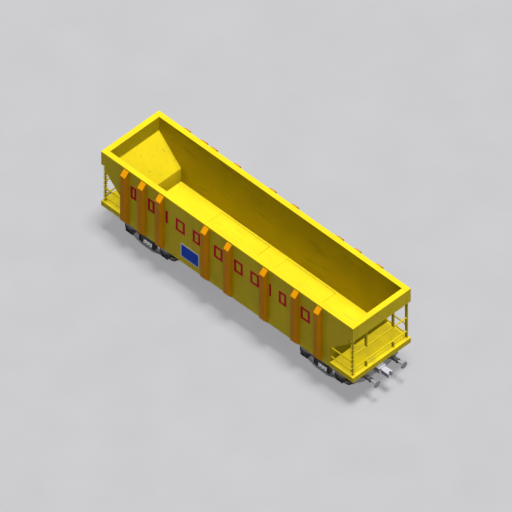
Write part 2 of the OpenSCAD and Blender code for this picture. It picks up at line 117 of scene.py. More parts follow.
class Shader:
    """A node material with its principled shader and short ways to add to it."""

    def __init__(self, name, roughness, metallic=0.0, coat=0.0):
        self.material = bpy.data.materials.new(name)
        self.material.use_nodes = True
        self.tree = self.material.node_tree
        self.bsdf = self.tree.nodes["Principled BSDF"]
        self.bsdf.inputs["Metallic"].default_value = metallic
        self.bsdf.inputs["Roughness"].default_value = roughness
        self.bsdf.inputs["Coat Weight"].default_value = coat
        self.bsdf.inputs["Coat Roughness"].default_value = COAT_ROUGHNESS
        if metallic == 0.0:
            self.bsdf.inputs["IOR"].default_value = MATT_IOR
        self.place = self.add("ShaderNodeTexCoord").outputs["Object"]

    def add(self, kind, **settings):
        node = self.tree.nodes.new(kind)
        for key, value in settings.items():
            setattr(node, key, value)
        return node

    def link(self, source, node, socket):
        self.tree.links.new(source, node.inputs[socket])

    def noise(self, scale, detail=4.0, stretch=(1, 1, 1)):
        mapping = self.add("ShaderNodeMapping")
        mapping.inputs["Scale"].default_value = stretch
        self.link(self.place, mapping, "Vector")
        node = self.add("ShaderNodeTexNoise")
        node.inputs["Scale"].default_value = scale
        node.inputs["Detail"].default_value = detail
        self.link(mapping.outputs["Vector"], node, "Vector")
        return node.outputs["Fac"]

    def steps(self, source, low, high, bottom=0.0, top=1.0):
        """Maps low..high to bottom..top and holds the ends."""
        node = self.add("ShaderNodeMapRange", clamp=True)
        for socket, value in (("From Min", low), ("From Max", high), ("To Min", bottom), ("To Max", top)):
            node.inputs[socket].default_value = value
        self.link(source, node, "Value")
        return node.outputs["Result"]

    def math(self, operation, a, b=0.0):
        node = self.add("ShaderNodeMath", operation=operation)
        for index, value in enumerate((a, b)):
            if isinstance(value, (int, float)):
                node.inputs[index].default_value = value
            else:
                self.tree.links.new(value, node.inputs[index])
        return node.outputs["Value"]

    def mix(self, factor, a, b):
        """Colour a where the factor is 0, and b where it is 1."""
        node = self.add("ShaderNodeMix", data_type="RGBA", blend_type="MIX")
        for socket, value in ((node.inputs["Factor"], factor), (node.inputs[6], a), (node.inputs[7], b)):
            if isinstance(value, (int, float, tuple)):
                socket.default_value = value
            else:
                self.tree.links.new(value, socket)
        return node.outputs[2]

    def bump(self, *layers):
        """Each layer is a height from 0 to 1 and its depth in metres."""
        normal = None
        for height, depth in layers:
            node = self.add("ShaderNodeBump")
            node.inputs["Distance"].default_value = depth
            self.link(height, node, "Height")
            if normal:
                self.link(normal, node, "Normal")
            normal = node.outputs["Normal"]
        self.link(normal, self.bsdf, "Normal")

    def done(self, color, roughness=None):
        self.link(color, self.bsdf, "Base Color")
        if roughness:
            self.link(roughness, self.bsdf, "Roughness")
        return self.material


def paint(name, color, chips=0.0, dust=0.10, roughness=0.42):
    """Brushed-out wagon paint: soft tone changes, rain streaks, dust, and chips down to rust."""
    s = Shader(name, roughness, coat=0.03)
    tone = s.mix(s.steps(s.noise(0.7, 3), 0.3, 0.7), darker(color, 0.88), color)
    streaks = s.steps(s.noise(5.0, 5, (1, 1, 0.06)), 0.50, 0.85, 0.0, dust * 1.4)
    patches = s.steps(s.noise(1.6, 6), 0.52, 0.80, 0.0, dust)
    tone = s.mix(s.math("MAXIMUM", streaks, patches), tone, DUST)
    ease = 0.16 * chips
    mask = s.steps(s.noise(46.0, 6), 0.735 - ease, 0.755 - ease, 0.0, min(1.0, 0.35 + chips))
    rough = s.steps(s.noise(9.0, 5), 0.2, 0.8, roughness - 0.07, roughness + 0.12)
    s.bump((s.noise(1.1, 2), 0.004), (s.noise(240.0, 2), 0.0002), (s.math("SUBTRACT", 1.0, mask), 0.0004))
    return s.done(s.mix(mask, tone, RUST), rough)


def tread_plate(name, color):
    """Painted chequer plate: short raised bars that lie at right angles by turns."""
    s = Shader(name, 0.48)
    split = s.add("ShaderNodeSeparateXYZ")
    s.link(s.place, split, "Vector")
    x, y = split.outputs["X"], split.outputs["Y"]
    along = s.math("MULTIPLY", s.math("ADD", x, y), BAR_WAVES)
    across = s.math("MULTIPLY", s.math("SUBTRACT", x, y), BAR_WAVES / 2)
    wave = s.math("MULTIPLY", s.math("SINE", along), s.math("SINE", across))
    bars = [s.steps(s.math("MULTIPLY", wave, sign), 0.55, 0.75) for sign in (1, -1)]
    worn = s.mix(s.steps(s.noise(2.2, 5), 0.40, 0.75, 0.0, 0.30), color, DUST)
    s.bump((s.math("MAXIMUM", bars[0], bars[1]), 0.0022), (s.noise(120.0, 3), 0.0003))
    return s.done(worn, s.steps(s.noise(12.0), 0.2, 0.8, 0.38, 0.60))


def scuffed(name, color):
    """The paint of the load space, rubbed along the fall of the load."""
    s = Shader(name, 0.50)
    base = s.mix(s.steps(s.noise(0.9, 4), 0.3, 0.7), darker(color, 0.90), color)
    scrapes = s.steps(s.noise(7.0, 7, (0.12, 1, 1)), 0.60, 0.74, 0.0, 0.30)
    tone = s.mix(scrapes, base, DUST)
    chips = s.steps(s.noise(30.0, 7), 0.70, 0.73, 0.0, 0.5)
    s.bump((s.noise(1.3, 2), 0.005), (scrapes, 0.0006), (s.noise(160.0, 2), 0.0003))
    return s.done(s.mix(chips, tone, RUST), s.steps(s.noise(8.0), 0.2, 0.8, 0.42, 0.62))


def cast(name, color, grain=70.0, roughness=0.62, metallic=0.1):
    """Sand-cast steel with brake dust in patches."""
    s = Shader(name, roughness, metallic)
    tone = s.mix(s.steps(s.noise(3.0, 5), 0.35, 0.75, 0.0, 0.55), color, darker(color, 0.62))
    tone = s.mix(s.steps(s.noise(11.0, 6), 0.58, 0.78, 0.0, 0.35), tone, RUST)
    s.bump((s.noise(grain, 5), 0.0012), (s.noise(grain * 5, 2), 0.0004))
    return s.done(tone, s.steps(s.noise(14.0), 0.2, 0.8, roughness - 0.1, roughness + 0.15))


def machined(name, color, roughness=0.24, rings=400.0, metallic=0.45):
    """Bright turned or rolled steel with fine marks and a film of grease."""
    s = Shader(name, roughness, metallic)
    tone = s.mix(s.steps(s.noise(6.0, 5), 0.45, 0.80, 0.0, 0.30), color, darker(color, 0.5))
    s.bump((s.noise(rings, 2, (1, 0.05, 0.05)), 0.0002))
    return s.done(tone, s.steps(s.noise(18.0), 0.2, 0.8, roughness - 0.06, roughness + 0.16))


M = {
    "yellow": paint("yellow_paint", YELLOW, 0.1),
    "yellow_edge": paint("yellow_paint_edges", YELLOW, 0.55),
    "orange": paint("orange_paint", ORANGE, 0.1),
    "orange_edge": paint("orange_paint_edges", ORANGE, 0.55),
    "inside": scuffed("load_space_paint", YELLOW),
    "deck": tread_plate("deck_plate", YELLOW),
    "red": paint("red_marking_paint", RED, 0.25, 0.06),
    "blue": paint("blue_marking_paint", BLUE, 0.25, 0.06),
    "white": paint("white_marking_paint", WHITE, 0.2, 0.08),
    "grey": paint("grey_frame_paint", FRAME_GREY, 0.2, 0.22, 0.52),
    "grey_edge": paint("grey_frame_edges", FRAME_GREY, 0.7, 0.22, 0.52),
    "pale": paint("pale_coupler_paint", COUPLER_GREY, 0.35, 0.16, 0.45),
    "bogie": cast("bogie_casting", BOGIE_GREY, 60.0),
    "dark": cast("dark_casting", DARK_GREY, 80.0, 0.58),
    # The coil springs' near-white base colour is a painted highlight over their steel.
    "spring": machined("spring_steel_painted_highlight", SPRING_STEEL_WITH_PAINTED_HIGHLIGHT, 0.36, 90.0, 0.25),
    "steel": machined("bright_steel", PLUNGER_STEEL),
    "head": machined("buffer_head_steel", HEAD_STEEL, 0.42, 140.0, 0.2),
    "wheel": cast("wheel_steel", WHEEL_BROWN, 120.0, 0.55, 0.15),
    "tread": machined("tread_steel", TREAD_STEEL, 0.22, 300.0, 0.8),
}


# ---------- mesh tools ----------

MERGE = 1e-5             # points closer than this are one
FLAT_ANGLE = 0.6         # degrees between faces that count as one plane
SHARP_ANGLE = 38         # degrees between faces that keep a hard edge
BEVEL_ANGLE = 30         # degrees between faces whose edge is rounded
EMBED = 0.002            # how deep a fastener starts in its plate


def basis(axis):
    """Two directions at right angles to an axis, and the axis itself, each of length 1."""
    w = Vector(axis).normalized()
    u = w.cross(Z if abs(w.z) < 0.9 else X).normalized()
    return u, w.cross(u), w


def ring(centre, u, v, radius, sides):
    """Points on a circle."""
    angles = [2 * math.pi * i / sides for i in range(sides)]
    return [centre + (u * math.cos(a) + v * math.sin(a)) * radius for a in angles]


class Part:
    """Solids gathered in one mesh. slot is the material that the next solid takes."""

    def __init__(self):
        self.bm = bmesh.new()
        self.slot = 0

    def skin(self, rings, close_ends=True):
        """Faces over a list of rings of points, each with as many points, or one at a tip."""
        made = [[self.bm.verts.new(p) for p in points] for points in rings]
        faces = []
        for a, b in zip(made, made[1:]):
            count = max(len(a), len(b))
            for i in range(count):
                j = (i + 1) % count
                corners = [a[i % len(a)], a[j % len(a)], b[j % len(b)], b[i % len(b)]]
                unique = [v for k, v in enumerate(corners) if v not in corners[:k]]
                faces.append(self.bm.faces.new(unique))
        if close_ends:
            for points in (made[0][::-1], made[-1]):
                if len(points) > 2:
                    faces.append(self.bm.faces.new(points))
        for face in faces:
            face.material_index = self.slot

    def prism(self, outline, offset):
        outline = [Vector(p) for p in outline]
        self.skin([outline, [p + Vector(offset) for p in outline]])

    def box(self, low, high):
        (x0, y0, z0), (x1, y1, z1) = low, high
        self.prism([(x0, y0, z0), (x1, y0, z0), (x1, y1, z0), (x0, y1, z0)], (0, 0, z1 - z0))

    def lathe(self, origin, axis, profile, sides=32, close_ends=True):
        """profile is a list of (distance along the axis, radius)."""
        u, v, w = basis(axis)
        centres = [(Vector(origin) + w * along, radius) for along, radius in profile]
        self.skin([ring(c, u, v, r, sides) if r > 0 else [c] for c, r in centres], close_ends)

    def tube(self, points, radius, sides=12):
        points = [Vector(p) for p in points]
        rings = []
        side = basis(points[1] - points[0])[0]
        for i, p in enumerate(points):
            ahead = points[min(i + 1, len(points) - 1)] - points[max(i - 1, 0)]
            w = ahead.normalized()
            side = (side - w * side.dot(w)).normalized()
            rings.append(ring(p, side, w.cross(side), radius, sides))
        self.skin(rings)

    def rivet(self, at, axis, radius=0.011):
        dome = [(-EMBED, radius), (radius * 0.25, radius * 0.95),
                (radius * 0.55, radius * 0.62), (radius * 0.68, 0)]
        self.lathe(at, axis, dome, 10)

    def bolt(self, at, axis, radius=0.016):
        """A washer with a hexagon head on it."""
        washer = radius * 1.35
        self.lathe(at, axis, [(-EMBED, washer), (radius * 0.2, washer), (radius * 0.2, 0)], 16)
        head = radius * 0.85
        self.lathe(at, axis, [(0, radius), (head * 0.85, radius), (head, radius * 0.86), (head, 0)], 6)

    def bead(self, a, b, radius=0.006):
        """A weld bead with a slight ripple."""
        a, b = Vector(a), Vector(b)
        count = min(max(2, int((b - a).length / 0.012)), 220)
        u, v, _ = basis(b - a)
        radii = [radius * (1.0 if i % 2 else 0.82) for i in range(count + 1)]
        self.skin([ring(a.lerp(b, i / count), u, v, r, 6) for i, r in enumerate(radii)])

    def done(self, name, body, slot, materials, replaced=(), bevel=0.0, sharp=SHARP_ANGLE):
        mesh = bpy.data.meshes.new(name)
        bmesh.ops.recalc_face_normals(self.bm, faces=self.bm.faces)
        self.bm.to_mesh(mesh)
        self.bm.free()
        piece(mesh, name, body, materials, replaced, bevel, sharp=sharp)


def piece(mesh, name, body, materials, replaced=(), bevel=0.0, edge=None, sharp=SHARP_ANGLE):
    """Makes an object that rides on a body. bevel rounds its edges, in the material edge if given."""
    obj = bpy.data.objects.new(name, mesh)
    bpy.context.scene.collection.objects.link(obj)
    for key in list(materials) + ([edge] if edge else []):
        mesh.materials.append(M[key])
    mesh.polygons.foreach_set("use_smooth", [True] * len(mesh.polygons))
    mesh.set_sharp_from_angle(angle=math.radians(sharp))
    if bevel:
        mod = obj.modifiers.new("rounded_edges", "BEVEL")
        mod.width = bevel
        mod.segments = 2
        mod.limit_method = "ANGLE"
        mod.angle_limit = math.radians(BEVEL_ANGLE)
        mod.harden_normals = True
        mod.material = len(materials) if edge else -1
    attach(obj, body)
    if replaced:
        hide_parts(*replaced)


def node_bmesh(node, whole=True):
    """A CAD node's mesh, with its flat faces made whole again unless they are to be inset."""
    bm = bmesh.new()
    bm.from_mesh(frame["nodes"][node].data)
    bmesh.ops.remove_doubles(bm, verts=bm.verts, dist=MERGE)
    if whole:
        bmesh.ops.dissolve_limit(bm, angle_limit=math.radians(FLAT_ANGLE), verts=bm.verts, edges=bm.edges)
    return bm


def soften(node, materials, edge, width, choose=None):
    """Stands a copy with rounded edges for a CAD node. choose gives a face its material's index."""
    bm = node_bmesh(node)
    if choose:
        for face in bm.faces:
            face.material_index = choose(face)
    mesh = bpy.data.meshes.new(node + "_shape")
    bm.to_mesh(mesh)
    bm.free()
    piece(mesh, node + "_shape", frame["nodes"][node]["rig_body"], materials, [node], width, edge)


def rounded_rect(width, height, radius, count=6):
    """Corner points of a rounded rectangle about 0, as (across, up)."""
    points = []
    for k, (sx, sz) in enumerate(((1, 1), (-1, 1), (-1, -1), (1, -1))):
        for i in range(count):
            a = math.pi / 2 * (k + i / (count - 1))
            across = sx * (width / 2 - radius) + radius * math.cos(a)
            up = sz * (height / 2 - radius) + radius * math.sin(a)
            points.append((across, up))
    return points


def bend(points, radius, count=6):
    """The points with each corner rounded off."""
    points = [Vector(p) for p in points]
    path = [points[0]]
    for before, corner, after in zip(points, points[1:], points[2:]):
        a = corner + (before - corner).normalized() * radius
        b = corner + (after - corner).normalized() * radius
        for i in range(count + 1):
            t = i / count
            path.append(a.lerp(corner, t).lerp(corner.lerp(b, t), t))
    return path + [points[-1]]


# ---------- measures from the frame ----------

WALL_LO, WALL_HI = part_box("right_side_wall")
RIM_Z, SILL_Z = WALL_HI.z, WALL_LO.z
HALF_L, HALF_W = WALL_HI.x, -WALL_LO.y
INNER_W = -WALL_HI.y
HEADER_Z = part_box("end_headers")[0].z
DECK_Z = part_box("front_platform")[1].z


def solids(node):
    """The box of each separate solid of a CAD node, in order along the wagon."""
    bm = node_bmesh(node, whole=False)
    seen, boxes = set(), []
    for vert in bm.verts:
        if vert in seen:
            continue
        group, stack = [], [vert]
        seen.add(vert)
        while stack:
            v = stack.pop()
            group.append(v.co.copy())
            for e in v.link_edges:
                other = e.other_vert(v)
                if other not in seen:
                    seen.add(other)
                    stack.append(other)
        low = Vector([min(p[i] for p in group) for i in range(3)])
        high = Vector([max(p[i] for p in group) for i in range(3)])
        boxes.append((low, high))
    bm.free()
    return sorted(boxes, key=lambda b: (round(b[0].x, 3), round(b[0].y, 3), round(b[0].z, 3)))


def spread(a, b, pitch):
    """Evenly spaced places from a to b, about a pitch apart."""
    count = max(1, round(abs(b - a) / pitch))
    return [a + (b - a) * i / count for i in range(count + 1)]


def end_of(low):
    """1 for a solid at the front of the wagon, -1 for one at the rear."""
    return 1 if low.x > 0 else -1


def outermost(low, high, axis):
    """How far a box reaches from the middle of the wagon along an axis."""
    return max(abs(low[axis]), abs(high[axis]))


def innermost(low, high, axis):
    return min(abs(low[axis]), abs(high[axis]))


# ---------- body ----------

WALL_RIVET_PITCH = 0.145
WALL_RIVET_END = 0.06    # from the wall's end to the first rivet
ROW_IN = 0.045           # from a plate's edge to its row of rivets
POST_ROW = 0.07          # from a post's middle to its rows of bolts and rivets


def inward(face):
    """1 for faces that look into the load space, for the scuffed paint."""
    c, n = face.calc_center_median(), face.normal
    inside = abs(c.y) < INNER_W + 0.01 and abs(c.x) < HALF_L - 0.2 and c.z > DECK_Z - 0.001
    wall = abs(n.y) > 0.9 and abs(c.y) > INNER_W - 0.01
    return 1 if inside and (wall or n.z > 0.3 or c.x * n.x < -0.5) else 0


def deck_top(face):
    """1 for the platform's top, for the chequer plate."""
    return 1 if face.normal.z > 0.9 and face.calc_center_median().z > DECK_Z - 0.01 else 0


def body_shell():
    both = ["yellow", "inside"]
    for side in SIDES:
        soften(side + "_side_wall", both, "yellow_edge", 0.012, inward)
    soften("end_headers", both, "yellow_edge", 0.010, inward)
    for end in ENDS:
        soften(end + "_slope_sheet", both, "yellow_edge", 0.008, inward)
        soften(end + "_platform", ["yellow", "deck"], "yellow_edge", 0.008, deck_top)
    soften("floor_plate", both, "yellow_edge", 0.003, inward)


def side_posts(side):
    """The orange posts with their welds, and with bolts and rivets in two rows."""
    sign = SIDES[side]
    node = side + "_side_posts"
    soften(node, ["orange"], "orange_edge", 0.010)
    welds, fasteners = Part(), Part()
    wall = sign * (HALF_W + 0.001)
    for low, high in solids(node):
        for x in (low.x, high.x):
            welds.bead((x, wall, low.z + 0.03), (x, wall, high.z - 0.02), 0.007)
        middle = (low.x + high.x) / 2
        face = sign * outermost(low, high, 1)
        for z in (low.z + 0.42, high.z - 0.40):
            for dx in (-POST_ROW, POST_ROW):
                fasteners.bolt((middle + dx, face, z), (0, sign, 0), 0.013)
        for z in spread(low.z + 0.62, high.z - 0.60, 0.30):
            for dx in (-POST_ROW, POST_ROW):
                fasteners.rivet((middle + dx, face, z), (0, sign, 0), 0.009)
    welds.done(side + "_post_welds", "wagon", "post_orange", ["orange"])
    fasteners.done(side + "_post_fasteners", "wagon", "post_orange", ["orange"])


def wall_rivets():
    """Rows along the sill, the floor and the top chord of the walls, and across both ends."""
    rows = Part()
    for side, sign in SIDES.items():
        spans = [(low.x - 0.02, high.x + 0.02) for low, high in solids(side + "_side_posts")]
        for z in (SILL_Z + 0.05, DECK_Z - ROW_IN, RIM_Z - 0.035):
            for x in spread(-HALF_L + WALL_RIVET_END, HALF_L - WALL_RIVET_END, WALL_RIVET_PITCH):
                if not any(a < x < b for a, b in spans):
                    rows.rivet((x, sign * HALF_W, z), (0, sign, 0))
    for sign in ENDS.values():
        for z in (HEADER_Z + ROW_IN, RIM_Z - ROW_IN, DECK_Z - ROW_IN):
            for y in spread(-HALF_W + WALL_RIVET_END, HALF_W - WALL_RIVET_END, WALL_RIVET_PITCH):
                rows.rivet((sign * HALF_L, y, z), (sign, 0, 0))
    rows.done("body_rivets", "wagon", "body_yellow", ["yellow"])


def slope_line():
    """The corners of the slope sheet's inner face as (x, z): at the header, at the foot."""
    verts = [v.co for v in frame["nodes"]["front_slope_sheet"].data.vertices]
    foot_x = min(v.x for v in verts)
    foot_z = max(v.z for v in verts if v.x - foot_x < 1e-4)
    top_x = min(v.co.x for v in frame["nodes"]["end_headers"].data.vertices if v.co.x > 0)
    top_z = max(v.z for v in verts if abs(v.x - top_x) < 1e-4 and v.z < HEADER_Z - 1e-4)
    return (top_x, top_z), (foot_x, foot_z)


def seams():
    """Weld beads where the plates of the load space meet."""
    beads = Part()
    width = 0.008
    (top_x, top_z), (foot_x, foot_z) = slope_line()
    corners = [(foot_x, DECK_Z), (foot_x, foot_z), (top_x, top_z), (top_x, RIM_Z - 0.01)]
    for sign in ENDS.values():
        for y in (-INNER_W, INNER_W):
            for (xa, za), (xb, zb) in zip(corners, corners[1:]):
                beads.bead((sign * xa, y, za), (sign * xb, y, zb), width)
        beads.bead((sign * foot_x, -INNER_W, DECK_Z), (sign * foot_x, INNER_W, DECK_Z), width)
    for y in (-INNER_W, INNER_W):
        beads.bead((-foot_x, y, DECK_Z), (foot_x, y, DECK_Z), width)
    beads.done("load_space_welds", "wagon", "body_yellow", ["inside"])


# ---------- blank marks and plates ----------

# Blank outlined blocks where the side carries a row of letters, as (centre, width)
MARKS = [(-4.60, 0.30), (-3.73, 0.34), (-2.97, 0.12), (-2.30, 0.46), (-1.50, 0.38), (-0.43, 0.44),
         (0.56, 0.44), (1.36, 0.44), (2.12, 0.10), (2.73, 0.38), (3.85, 0.46)]
MARK_H = 0.60
MARK_STROKE = 0.112
MARK_DROP = 0.95         # from the rim to the marks' middle
MARK_PITCH = 0.95        # about, on the left side
PLATE_W, PLATE_H = 0.92, 0.66
PLATE_X, PLATE_DROP = -1.83, 2.05


def flat_plate(part, side_sign, x, z, outline, base, thick):
    """A thin plate on a side wall. base is its back's distance from the wall."""
    y = side_sign * (HALF_W + base)
    part.prism([(x - a * side_sign, y, z + b) for a, b in outline], (0, side_sign * thick, 0))


def outlined_block(part, sign, x, z, width):
    """A blank block: an outline where it is wide enough, or else one bar."""
    if width < 2 * MARK_STROKE:
        flat_plate(part, sign, x, z, rounded_rect(width, MARK_H, 0.02), -EMBED, 0.0045)
        return
    upright = rounded_rect(MARK_STROKE, MARK_H, 0.02)
    level = rounded_rect(width - MARK_STROKE, MARK_STROKE, 0.005, 2)
    for k in (-1, 1):
        flat_plate(part, sign, x + k * (width - MARK_STROKE) / 2, z, upright, -EMBED, 0.0045)
        flat_plate(part, sign, x, z + k * (MARK_H - MARK_STROKE) / 2, level, -EMBED, 0.0042)


def bays(side):
    """The clear lengths of wall between the posts."""
    spans = sorted((low.x, high.x) for low, high in solids(side + "_side_posts"))
    return [(a[1], b[0]) for a, b in zip(spans, spans[1:]) if b[0] - a[1] > 0.35]


def mark_places(side):
    """The right side's marks are the photograph's. The left side isn't seen, so its own bays carry them."""
    if side == "right":
        return MARKS, PLATE_X
    places = []
    for low, high in bays(side):
        count = max(1, round((high - low) / MARK_PITCH))
        pitch = (high - low) / count
        places += [(low + pitch * (k + 0.5), min(0.42, pitch - 0.22)) for k in range(count)]
    low, high = max(bays(side), key=lambda bay: bay[1] - bay[0])
    return places, (low + high) / 2


def markings(side):
    """The row of blank blocks, and a blank plate with a border and a rivet in each corner."""
    sign = SIDES[side]
    places, x = mark_places(side)
    blocks = Part()
    for centre, width in places:
        outlined_block(blocks, sign, centre, RIM_Z - MARK_DROP, width)
    blocks.done(side + "_blank_marks", "wagon", "body_yellow", ["red"])
    plate = Part()
    z = RIM_Z - PLATE_DROP
    flat_plate(plate, sign, x, z, rounded_rect(PLATE_W, PLATE_H, 0.07), -EMBED, 0.006)
    for dx in (-1, 1):
        for dz in (-1, 1):
            corner = (x + dx * (PLATE_W / 2 - 0.05), sign * (HALF_W + 0.004), z + dz * (PLATE_H / 2 - 0.05))
            plate.rivet(corner, (0, sign, 0), 0.008)
    plate.slot = 1
    flat_plate(plate, sign, x, z, rounded_rect(PLATE_W - 0.10, PLATE_H - 0.10, 0.05), 0.003, 0.002)
    plate.done(side + "_blank_plate", "wagon", "body_yellow", ["white", "blue"])


# ---------- end platforms ----------

FOOT_REACH_X, FOOT_REACH_Y, FOOT_THICK = 0.082, 0.062, 0.010
RUNGS = 8


def collar(part, at, axis, radius, length=0.03):
    """A socket round a rail's end."""
    part.lathe(at, axis, [(0, radius * 1.75), (0.008, radius * 1.75), (0.010, radius * 1.35),
                          (length, radius * 1.30), (length + 0.002, radius * 1.05), (length + 0.002, 0)], 24)


def railings():
    """Handrails with a socket at each end, and posts with a bolted foot on each plate they meet."""
    soften("handrails", ["yellow"], "yellow_edge", 0.002)
    soften("end_posts", ["yellow"], "yellow_edge", 0.006)
    soften("right_ladder_posts", ["yellow"], "yellow_edge", 0.003)
    sockets, feet = Part(), Part()
    for low, high in solids("handrails"):
        size = high - low
        along = 0 if size.x > size.y else 1
        for end, sign in ((low, 1), (high, -1)):
            at, axis = (low + high) / 2, Vector((0, 0, 0))
            at[along], axis[along] = end[along], sign
            collar(sockets, at, axis, size.z / 2)
    for low, high in solids("end_posts") + solids("right_ladder_posts"):
        x, y = (low.x + high.x) / 2, (low.y + high.y) / 2
        for z, up in ((low.z, 1), (high.z, -1)):
            if abs(z - DECK_Z) >= 0.01 and abs(z - HEADER_Z) >= 0.01:
                continue
            top = z + up * FOOT_THICK
            feet.box((x - FOOT_REACH_X, y - FOOT_REACH_Y, min(z, top)),
                     (x + FOOT_REACH_X, y + FOOT_REACH_Y, max(z, top)))
            for dx in (-0.062, 0.062):
                for dy in (-0.042, 0.042):
                    feet.bolt((x + dx, y + dy, top), (0, 0, up), 0.009)
    sockets.done("rail_sockets", "wagon", "body_yellow", ["yellow"])
    feet.done("post_feet", "wagon", "body_yellow", ["yellow"], bevel=0.0015)


def rung_caps():
    """A raised lip at each end of the rungs, which keeps a boot on."""
    lips = Part()
    lip = [(-0.003, 0.014), (-0.001, 0.0205), (0.005, 0.0205), (0.007, 0.017), (0.007, 0)]
    rise = (HEADER_Z - DECK_Z) / RUNGS
    for low, high in solids("right_ladder_posts"):
        x, y = (low.x + high.x) / 2, (low.y + high.y) / 2
        for i in range(RUNGS):
            z = DECK_Z + rise * (i + 0.6)
            for axis, reach in ((X, (high.x - low.x) / 2), (Y, (high.y - low.y) / 2)):
                for sign in (-1, 1):
                    at = Vector((x, y, z)) + axis * sign * (reach - 0.007)
                    lips.lathe(at, axis * sign, lip, 16)
    lips.done("rung_lips", "wagon", "body_yellow", ["yellow"])


# ---------- headstocks, buffers and couplers ----------

HOUSING_R = 0.0825
SHAFT_R = 0.045
HOUSING_BOLT_R = 0.118   # from the buffer's axis to the bolts of its base
KNUCKLE_Y = 0.079
SHANK_SIDE = 0.0615


def headstock_fittings():
    """Rows of rivets round the edge of each headstock's face."""
    soften("headstocks", ["grey"], "grey_edge", 0.008)
    rivets = Part()
    for low, high in solids("headstocks"):
        sign = end_of(low)
        face = outermost(low, high, 0) * sign
        reach = high.y - 0.05
        places = []
        for y in spread(-reach, reach, 0.12):
            places.append((y, high.z - 0.05))
            if 0.16 < abs(y) < high.y - 0.46:
                places.append((y, low.z + 0.05))
        for y in (-reach, reach):
            places += [(y, z) for z in spread(low.z + 0.27, high.z - 0.15, 0.11)]
        for y, z in places:
            rivets.rivet((face, y, z), (sign, 0, 0), 0.010)
    rivets.done("headstock_rivets", "wagon", "frame_grey", ["grey"])


def buffer_plunger(part, at, axis, length, head):
    """A turned plunger with its head. head is the head's radius."""
    part.slot = 0
    part.lathe(at, axis, [(0, 0), (0, SHAFT_R - 0.004), (0.004, SHAFT_R), (length - 0.074, SHAFT_R),
                          (length - 0.070, SHAFT_R + 0.003), (length - 0.060, SHAFT_R * 1.25),
                          (length - 0.060, 0)], 40)
    part.slot = 1
    part.lathe(at, axis, [(length - 0.062, 0), (length - 0.062, SHAFT_R * 1.32),
                          (length - 0.044, SHAFT_R * 1.9), (length - 0.034, head - 0.010),
                          (length - 0.028, head - 0.002), (length - 0.022, head), (length - 0.012, head),
                          (length - 0.006, head - 0.006), (length - 0.003, head - 0.030),
                          (length - 0.001, head * 0.5), (length, 0)], 56)


def housing_fittings(part, sign, base, mouth, y, z):
    """The mouth ring, ribs, gussets and base bolts of a buffer housing."""
    axis = (sign, 0, 0)
    part.lathe((sign * (mouth - 0.050), y, z), axis,
               [(0, HOUSING_R - 0.002), (0.004, HOUSING_R + 0.014), (0.040, HOUSING_R + 0.014),
                (0.047, HOUSING_R + 0.008), (0.050, 0.052), (0.050, 0.049), (0.0, 0.049)], 40)
    for k in range(3):
        part.lathe((sign * (base + 0.035 + 0.075 * k), y, z), axis,
                   [(0, HOUSING_R - 0.002), (0.003, HOUSING_R + 0.006),
                    (0.015, HOUSING_R + 0.006), (0.018, HOUSING_R - 0.002)], 40)
    root = Vector((sign * base, y, z))
    for k in range(4):
        a = math.pi / 4 + k * math.pi / 2
        out = Vector((0, math.cos(a), math.sin(a)))
        part.bolt(root + out * HOUSING_BOLT_R, axis, 0.013)
        half = Vector((0, -out.z, out.y)) * 0.008
        low, high = out * (HOUSING_R - 0.004), out * (HOUSING_R + 0.016)
        ahead = Vector((sign * 0.10, 0, 0))
        part.prism([root + low - half, root + high - half, root + low + ahead - half], half * 2)


def buffer_sets():
    """Turned plungers and heads, and what is bolted round each housing."""
    soften("buffer_housings", ["dark"], "dark", 0.004)
    turned, fittings = Part(), Part()
    housings = solids("buffer_housings")
    for low, high in solids("buffers"):
        sign = end_of(low)
        y, z = (low.y + high.y) / 2, (low.z + high.z) / 2
        at = (sign * innermost(low, high, 0), y, z)
        buffer_plunger(turned, at, (sign, 0, 0), high.x - low.x, (high.y - low.y) / 2)
        home = [b for b in housings if end_of(b[0]) == sign and b[0].y < y < b[1].y][0]
        base = innermost(*home, 0) + 0.030
        housing_fittings(fittings, sign, base, outermost(*home, 0), y, z)
    turned.done("buffer_plungers", "wagon", "bright_steel", ["steel", "head"], ["buffers"], sharp=30)
    fittings.done("buffer_fittings", "wagon", "dark_steel", ["dark"], bevel=0.001, sharp=30)


def coupler_fittings():
    """Knuckle pins, shank ribs, and bolts through the strikers."""
    soften("couplers", ["pale"], "pale", 0.010)
    soften("coupler_strikers", ["pale"], "pale", 0.008)
    parts = Part()
    for low, high in solids("couplers"):
        sign = end_of(low)
        nose = outermost(low, high, 0)
        middle = (low.z + high.z) / 2
        pin = Vector((sign * (nose - 0.052), KNUCKLE_Y, low.z - 0.006))
        tall = high.z - low.z
        parts.lathe(pin, Z, [(0, 0.016), (0.006, 0.022), (tall + 0.010, 0.022),
                             (tall + 0.018, 0.015), (tall + 0.018, 0)], 20)
        rib_x = sign * nose - sign * 0.235
        for y in (-SHANK_SIDE, SHANK_SIDE):
            parts.box((rib_x - 0.09, min(y, y * 0.9), middle - 0.018),
                      (rib_x + 0.09, max(y, y * 0.9), middle + 0.018))
        parts.lathe((sign * (nose - 0.17), -0.02, high.z - EMBED), Z,
                    [(0, 0.036), (0.008, 0.036), (0.012, 0.030), (0.012, 0)], 24)
    for low, high in solids("coupler_strikers"):
        sign = end_of(low)
        for y in (low.y + 0.0175, high.y - 0.0175):
            for z in (low.z + 0.04, high.z - 0.04):
                parts.bolt((sign * outermost(low, high, 0), y, z), (sign, 0, 0), 0.010)
    parts.done("coupler_fittings", "wagon", "bright_steel", ["pale"], bevel=0.002)


# ---------- underframe ----------

SILL_HALF = 0.16         # half the width of the centre sill
CYLINDER_Y, CYLINDER_R = -0.76, 0.13
TANK_Y, TANK_R = 0.72, 0.19
TANK_CAP = 0.085         # the depth of the tank's domed ends
PIPE_Y, PIPE_DROP = -0.21, 0.085


